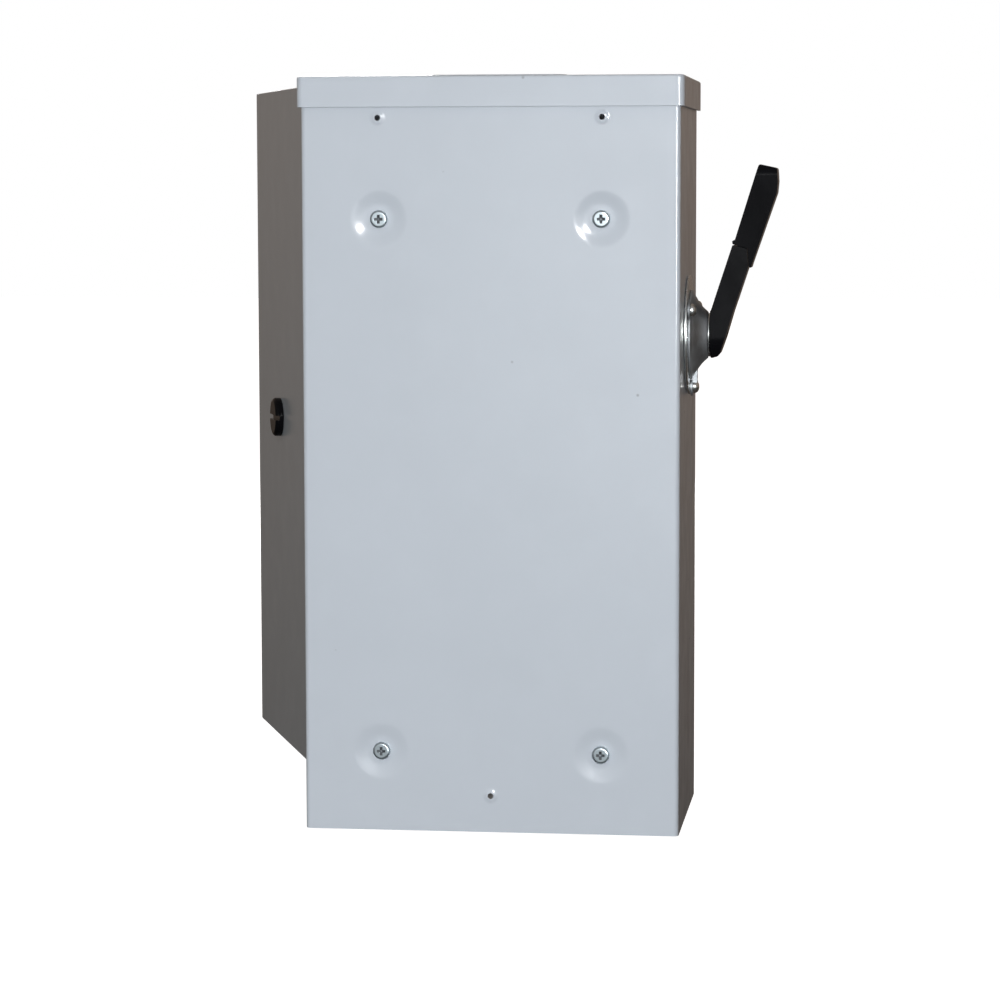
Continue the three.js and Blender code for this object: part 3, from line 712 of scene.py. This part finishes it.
def handle_ring():
    outer = RING["outer"]
    length = -outer - CASE["half"] - GAP
    bore = SHAFT + 3
    radius = RING["radius"]
    profile = [
        (bore, 0), (radius - 0.3, 0), (radius, 0.3), (radius, length - 0.5), (radius - 0.15, length - 0.18),
        (radius - 0.5, length), (bore, length),
    ]
    ring = turned("handle_ring_turned", "-x", (-CASE["half"] - GAP, *AXLE), profile, 96)
    cut(ring, *[rod("hole", "x", (outer - 1, y, z), 4, EARS["hole"]) for y, z in ear_places()])
    soften(ring, 0)
    return keep(ring, "case", "bright_zinc", BRIGHT, "handle_ring")


def handle_dome():
    seat = RING["outer"] - GAP
    bore = SHAFT + GAP
    radius, height = DOME["radius"], DOME["height"]
    profile = [
        (bore, 0), (radius, 0), (radius, 0.9), (radius - 0.3, 1.2), (25.4, 1.5), (24.3, 2.1), (22.8, 3.1),
        (21, 4.1), (19, 5.5), (17.2, 6.9), (15.7, 8.4), (14.6, 9.7), (14.0, height - 0.1),
        (13.4, height), (bore, height),
    ]
    dome = turned("handle_dome_cast", "-x", (seat, *AXLE), profile, 72)
    for y, z in ear_places():
        join(dome, rod("ear", "-x", (seat, y, z), 1.2, EARS["radius"], 40))
    rib = [(-71.5, 265.5, 0.8), (-64.5, 265.5, 0.8), (-64.5, 276), (-71.5, 276)]
    join(dome, prism("rib", "yz", rounded(rib, 4), (seat - 4, seat)))
    cut(dome, *[rod("seat", "x", (seat - 9, y, z), 7.8, EARS["seat"]) for y, z in ear_places()])
    cut(dome, *[rod("hole", "x", (seat - 9, y, z), 12, EARS["hole"]) for y, z in ear_places()])
    soften(tidy(dome), 0.25, 2, 45)
    return keep(dome, "case", "dark_casting", CASTING, "handle_dome")


def neck_washer():
    profile = [
        (SHAFT + GAP, 0), (12.9, 0), (13.2, 0.25), (13.2, 0.75), (12.9, 1), (SHAFT + GAP, 1),
    ]
    seat = RING["outer"] - GAP - DOME["height"] - GAP
    washer = turned("neck_washer_turned", "-x", (seat, *AXLE), profile, 64)
    soften(washer, 0)
    return keep(washer, "handle", "bright_zinc", BRIGHT, "neck_washer")


def tongue(extra):
    """The tongue inside the grip, along the lever's lean."""
    lean = math.radians(18.4)
    along = (-math.sin(lean), math.cos(lean))
    across = (math.cos(lean), math.sin(lean))
    half = 3 + extra
    reach = 29 + extra
    outline = []
    for side, t in ((-1, 0), (1, 0), (1, reach), (-1, reach)):
        u = -144.3 + along[0] * t + across[0] * side * half
        v = 345 + along[1] * t + across[1] * side * half
        outline.append((u, v))
    wide = 5.5 + extra
    return prism("tongue", "xz", outline, (AXLE[0] - wide, AXLE[0] + wide))


def lever_arm():
    y, z = AXLE
    side = rounded([
        (y - 14.3, z - 14.3, 12.8), (y + 14.3, z - 14.3, 12.8), (y + 9.5, z + 56), (y - 9.5, z + 56),
    ], 14)
    arm = prism("lever_arm_moulded", "xz", rounded(ARM_PROFILE, 5), (y - 16, y + 16))
    common(arm, prism("side", "yz", side, (-170, -120)))
    tidy(arm)
    round_edges(arm, 1.1, 4)
    join(arm, tongue(0))
    cut(
        arm,
        rod("bore", "x", (-129.8, y, z), 5, SHAFT + GAP),
        rod("head", "x", (-140, y, z), 8.1, 4.4),
        rod("screw", "x", (-140, y, z), 14, 2.1),
    )
    soften(arm, 0)
    return keep(arm, "handle", "black_plastic", BLACK, "lever_arm")


def round_edges(obj, width, segments):
    """Applies a rounded edge at once, so that later cuts stay crisp."""
    edge = obj.modifiers.new("round", "BEVEL")
    edge.width = width * MM
    edge.segments = segments
    edge.limit_method = "ANGLE"
    edge.angle_limit = math.radians(35)
    graph = bpy.context.evaluated_depsgraph_get()
    result = bpy.data.meshes.new_from_object(obj.evaluated_get(graph))
    obj.modifiers.clear()
    obj.data = result
    return obj


def lever_grip():
    y, z = AXLE
    side = rounded([
        (y - 10.5, z + 38), (y + 10.5, z + 38), (y + 12.5, z + 103, 7), (y - 12.5, z + 103, 7),
    ], 12)
    grip = prism("lever_grip_moulded", "xz", rounded(GRIP_PROFILE, 5), (y - 16, y + 16))
    common(grip, prism("side", "yz", side, (-175, -130)))
    tidy(grip)
    round_edges(grip, 1.0, 4)
    cut(grip, tongue(GAP))
    soften(grip, 0)
    return keep(grip, "handle", "black_plastic", BLACK, "lever_grip")


def hub_screw():
    y, z = AXLE
    head = turned("hub_screw_turned", "-x", (-132.2, y, z), [
        (0, 0), (3.9, 0), (4, 0.12), (4, 1.5), (3.6, 2.1), (2.9, 2.4), (0, 2.4),
    ], 36)
    cut(head, block("slot", (-136, -133.4), (y - 0.6, y + 0.6), (z - 5, z + 5)))
    join(head, rod("shank", "x", (-132.5, y, z), 8.4, 1.75, 24))
    soften(tidy(head), 0.08, 2, 40)
    return keep(head, "handle", "bright_zinc", BRIGHT, "hub_screw")


# ---- door ----

def door_pan():
    half, edge, face = DOOR["half"], DOOR["edge"], DOOR["face"]
    low, top = DOOR["low"], DOOR["top"]
    outline = rounded([(-half, edge), (half, edge), (half, face, BEND), (-half, face, BEND)], 10)
    pan = prism("door_pan_formed", "xy", outline, (low, top))

    def rim(a, b):
        level = abs(a.z - b.z) < 0.01
        return level and max(a.y, b.y) < edge - BEND - 0.1

    bevel_edges(pan, 1.2, 4, rim)
    inside = half - SHEET
    pocket = block("pocket", (-inside, inside), (face + SHEET, edge + 1), (low + SHEET, top - SHEET))
    hole = rod("hole", "-y", (LATCH["x"], edge, LATCH["z"]), 20, LATCH["stem"] + GAP + 0.5)
    cut(pan, pocket, hole)
    tidy(pan)
    soften(pan, 0.2, 2, 50)
    swing_open(pan)
    return keep(pan, "door", "door_paint", SHADED_DOOR_PAINT, "door_pan")


def latch_knob():
    x, z, radius, proud = LATCH["x"], LATCH["z"], LATCH["knob"], LATCH["proud"]
    seat = DOOR["face"] - GAP
    knob = turned("latch_knob_moulded", "-y", (x, seat, z), [
        (0, 0), (radius, 0), (radius, proud - 2.0), (radius - 0.3, proud - 1.2), (radius - 0.9, proud - 0.5),
        (radius - 1.7, proud - 0.1), (radius - 2.4, proud), (0, proud),
    ], 64)
    front = seat - proud
    cut(knob, block("slot", (x - radius, x + radius), (front - 1, front + 2.6), (z - 1.6, z + 1.6)))
    length = LATCH["cam"] + 1 - seat
    join(knob, rod("stem", "y", (x, seat - 0.5, z), length, LATCH["stem"], 40))
    soften(tidy(knob), 0.25, 3, 40)
    swing_open(knob)
    return keep(knob, "latch", "black_plastic", BLACK, "latch_knob")


# ---- interior ----

def fuses():
    """Cartridge fuses: a fibre tube between two rolled ferrules."""
    low, high, cap = FUSE["low"], FUSE["high"], FUSE["cap"]
    body, ferrule = FUSE["body"], FUSE["ferrule"]
    profile = [
        (0, low), (ferrule - 0.8, low), (ferrule - 0.2, low + 0.2), (ferrule, low + 0.8),
        (ferrule, low + cap - 2.6), (ferrule - 0.35, low + cap - 2.1), (ferrule, low + cap - 1.6),
        (ferrule, low + cap - 0.2), (body, low + cap),
    ]
    mirrored = [(radius, low + high - level) for radius, level in reversed(profile)]
    for number, x in enumerate(POLES, 1):
        fuse = turned(f"fuse_{number}_rolled", "z", (x, FUSE["y"], 0), profile + mirrored, 48)
        fuse.data.materials.append(FERRULE)
        fuse.data.materials.append(TUBE)
        for face in fuse.data.polygons:
            level = face.center.z / MM
            face.material_index = int(low + cap < level < high - cap)
        soften(fuse, 0)
        keep(fuse, "case", "fuse_tube", None, f"fuse_{number}")


def spring_points():
    """The spring's centre line: a straight leg, the coil, and a second leg."""
    radius, pitch, turns, start = 9, 3.2, 3.5, -107
    y, z = AXLE
    made = [(start, y - 34, z - radius), (start, y - 17, z - radius)]
    steps = 84
    for k in range(steps + 1):
        angle = k / steps * turns * 2 * math.pi
        along = start + pitch * turns * k / steps
        made.append((along, y + radius * math.sin(angle), z - radius * math.cos(angle)))
    end = made[-1]
    made.append((end[0], end[1] - 11, end[2]))
    made.append((end[0], end[1] - 22, end[2]))
    return made


def mechanism_spring():
    curve = bpy.data.curves.new("mechanism_spring_wound", "CURVE")
    curve.dimensions = "3D"
    curve.bevel_depth = 1.05 * MM
    curve.bevel_resolution = 3
    curve.use_fill_caps = True
    points = spring_points()
    spline = curve.splines.new("POLY")
    spline.points.add(len(points) - 1)
    for place, point in zip(spline.points, points):
        place.co = (*[value * MM for value in point], 1)
    spring = bpy.data.objects.new("mechanism_spring_wound", curve)
    bpy.context.scene.collection.objects.link(spring)
    return keep(spring, "case", "plated_steel", STEEL, "mechanism_spring")


# ---- camera, floor and light ----

def camera():
    """A long lens behind the case, a little above it and to the handle's side."""
    data = bpy.data.cameras.new("camera")
    data.sensor_width = 36
    data.lens = 117.23
    data.clip_end = 60
    made = bpy.data.objects.new("camera", data)
    bpy.context.scene.collection.objects.link(made)
    place = (-0.24983, 1.90433, 0.38689)
    yaw, pitch, roll = 0.1272, -0.0969, -0.0019
    ahead = Vector((math.sin(yaw) * math.cos(pitch), -math.cos(yaw) * math.cos(pitch), math.sin(pitch)))
    level = Vector((-math.cos(yaw), -math.sin(yaw), 0))
    above = level.cross(ahead)
    right = level * math.cos(roll) + above * math.sin(roll)
    up = above * math.cos(roll) - level * math.sin(roll)
    turn = Matrix((right, up, -ahead)).transposed().to_4x4()
    made.matrix_world = Matrix.Translation(place) @ turn
    bpy.context.scene.camera = made


# The room from the door side round to the camera side.
ROOM_TONES = [(0.50, (0.24, 0.195, 0.165)), (0.80, (0.29, 0.28, 0.28)), (0.95, (0.48, 0.49, 0.50))]


def backdrop():
    """White to the camera; for light and reflections, a dim warm room that is brighter behind the camera."""
    world = bpy.data.worlds.new("studio")
    world.use_nodes = True
    bpy.context.scene.world = world
    nodes, links = world.node_tree.nodes, world.node_tree.links
    room = nodes["Background"]
    seen = nodes.new("ShaderNodeBackground")
    seen.inputs["Color"].default_value = (1, 1, 1, 1)
    rays = nodes.new("ShaderNodeLightPath")
    mix = nodes.new("ShaderNodeMixShader")
    coords = nodes.new("ShaderNodeTexCoord")
    split = nodes.new("ShaderNodeSeparateXYZ")
    ramp = nodes.new("ShaderNodeValToRGB")
    ramp.color_ramp.elements[0].position = 0.0
    ramp.color_ramp.elements[0].color = (0.20, 0.155, 0.125, 1)
    ramp.color_ramp.elements[1].position = 0.985
    ramp.color_ramp.elements[1].color = (1.05, 1.08, 1.10, 1)
    for place, colour in ROOM_TONES:
        ramp.color_ramp.elements.new(place).color = (*colour, 1)
    scale = nodes.new("ShaderNodeMapRange")
    scale.inputs["From Min"].default_value = -1
    height = nodes.new("ShaderNodeMapRange")
    height.inputs["From Min"].default_value = -0.21
    height.inputs["From Max"].default_value = 0.02
    height.inputs["To Min"].default_value = 0.20
    links.new(coords.outputs["Generated"], split.inputs["Vector"])
    links.new(split.outputs["Y"], scale.inputs["Value"])
    links.new(split.outputs["Z"], height.inputs["Value"])
    links.new(scale.outputs["Result"], ramp.inputs["Fac"])
    links.new(ramp.outputs["Color"], room.inputs["Color"])
    links.new(height.outputs["Result"], room.inputs["Strength"])
    links.new(rays.outputs["Is Camera Ray"], mix.inputs["Fac"])
    links.new(room.outputs["Background"], mix.inputs[1])
    links.new(seen.outputs["Background"], mix.inputs[2])
    links.new(mix.outputs["Shader"], nodes["World Output"].inputs["Surface"])


def floor():
    """A plain pale floor, bright enough to meet the white behind it."""
    size = 9.0
    data = bpy.data.meshes.new("floor")
    corners = [(-size, -size, 0), (size, -size, 0), (size, size, 0), (-size, size, 0)]
    data.from_pydata(corners, [], [(0, 1, 2, 3)])
    made = bpy.data.objects.new("floor", data)
    made.location.z = -0.0006
    bpy.context.scene.collection.objects.link(made)
    material = bpy.data.materials.new("pale_floor")
    material.use_nodes = True
    shader = material.node_tree.nodes["Principled BSDF"]
    shader.inputs["Base Color"].default_value = (0.86, 0.86, 0.86, 1)
    shader.inputs["Roughness"].default_value = 0.9
    shader.inputs["Specular IOR Level"].default_value = 0.1
    shader.inputs["Emission Color"].default_value = (1, 1, 1, 1)
    shader.inputs["Emission Strength"].default_value = 0.93
    data.materials.append(material)
    made.visible_glossy = False
    made.visible_diffuse = False


def area_light(name, place, size, power, colour, glossy=True, diffuse=True):
    data = bpy.data.lights.new(name, "AREA")
    data.shape = "DISK"
    data.size = size
    data.energy = power
    data.color = colour
    made = bpy.data.objects.new(name, data)
    made.location = place
    target = Vector((0, -0.03, 0.24))
    made.rotation_mode = "QUATERNION"
    made.rotation_quaternion = (target - Vector(place)).to_track_quat("-Z", "Y")
    made.visible_glossy = glossy
    made.visible_diffuse = diffuse
    bpy.context.scene.collection.objects.link(made)


def lights():
    """A broad light and two small glints behind the camera, and a soft light on the door side."""
    area_light("back", (-0.12, 2.10, 0.30), 0.9, 31.3, (0.95, 0.98, 1.0), glossy=False)
    area_light("spark", (-0.42, 2.00, 0.72), 0.30, 18, (1.0, 1.0, 1.0), diffuse=False)
    area_light("glint", (-1.20, 2.00, 0.40), 0.34, 26, (0.96, 0.99, 1.0), diffuse=False)
    area_light("top", (0.1, 0.3, 2.2), 1.4, 3, (1.0, 0.98, 0.96), glossy=False)
    area_light("door_side", (0.02, -2.30, 0.55), 0.5, 15, (1.0, 0.99, 0.97), glossy=False)
    area_light("door_glint", (0.55, -2.10, 0.95), 0.4, 9, (1.0, 1.0, 1.0), diffuse=False)


# ---- the model ----

finish_nodes()
body_shell()
top_cap()
plate_screws()
dome_screws()
handle_ring()
handle_dome()
neck_washer()
lever_arm()
lever_grip()
hub_screw()
door_pan()
latch_knob()
fuses()
mechanism_spring()
camera()
backdrop()
floor()
lights()
bpy.context.scene.view_settings.view_transform = "Standard"
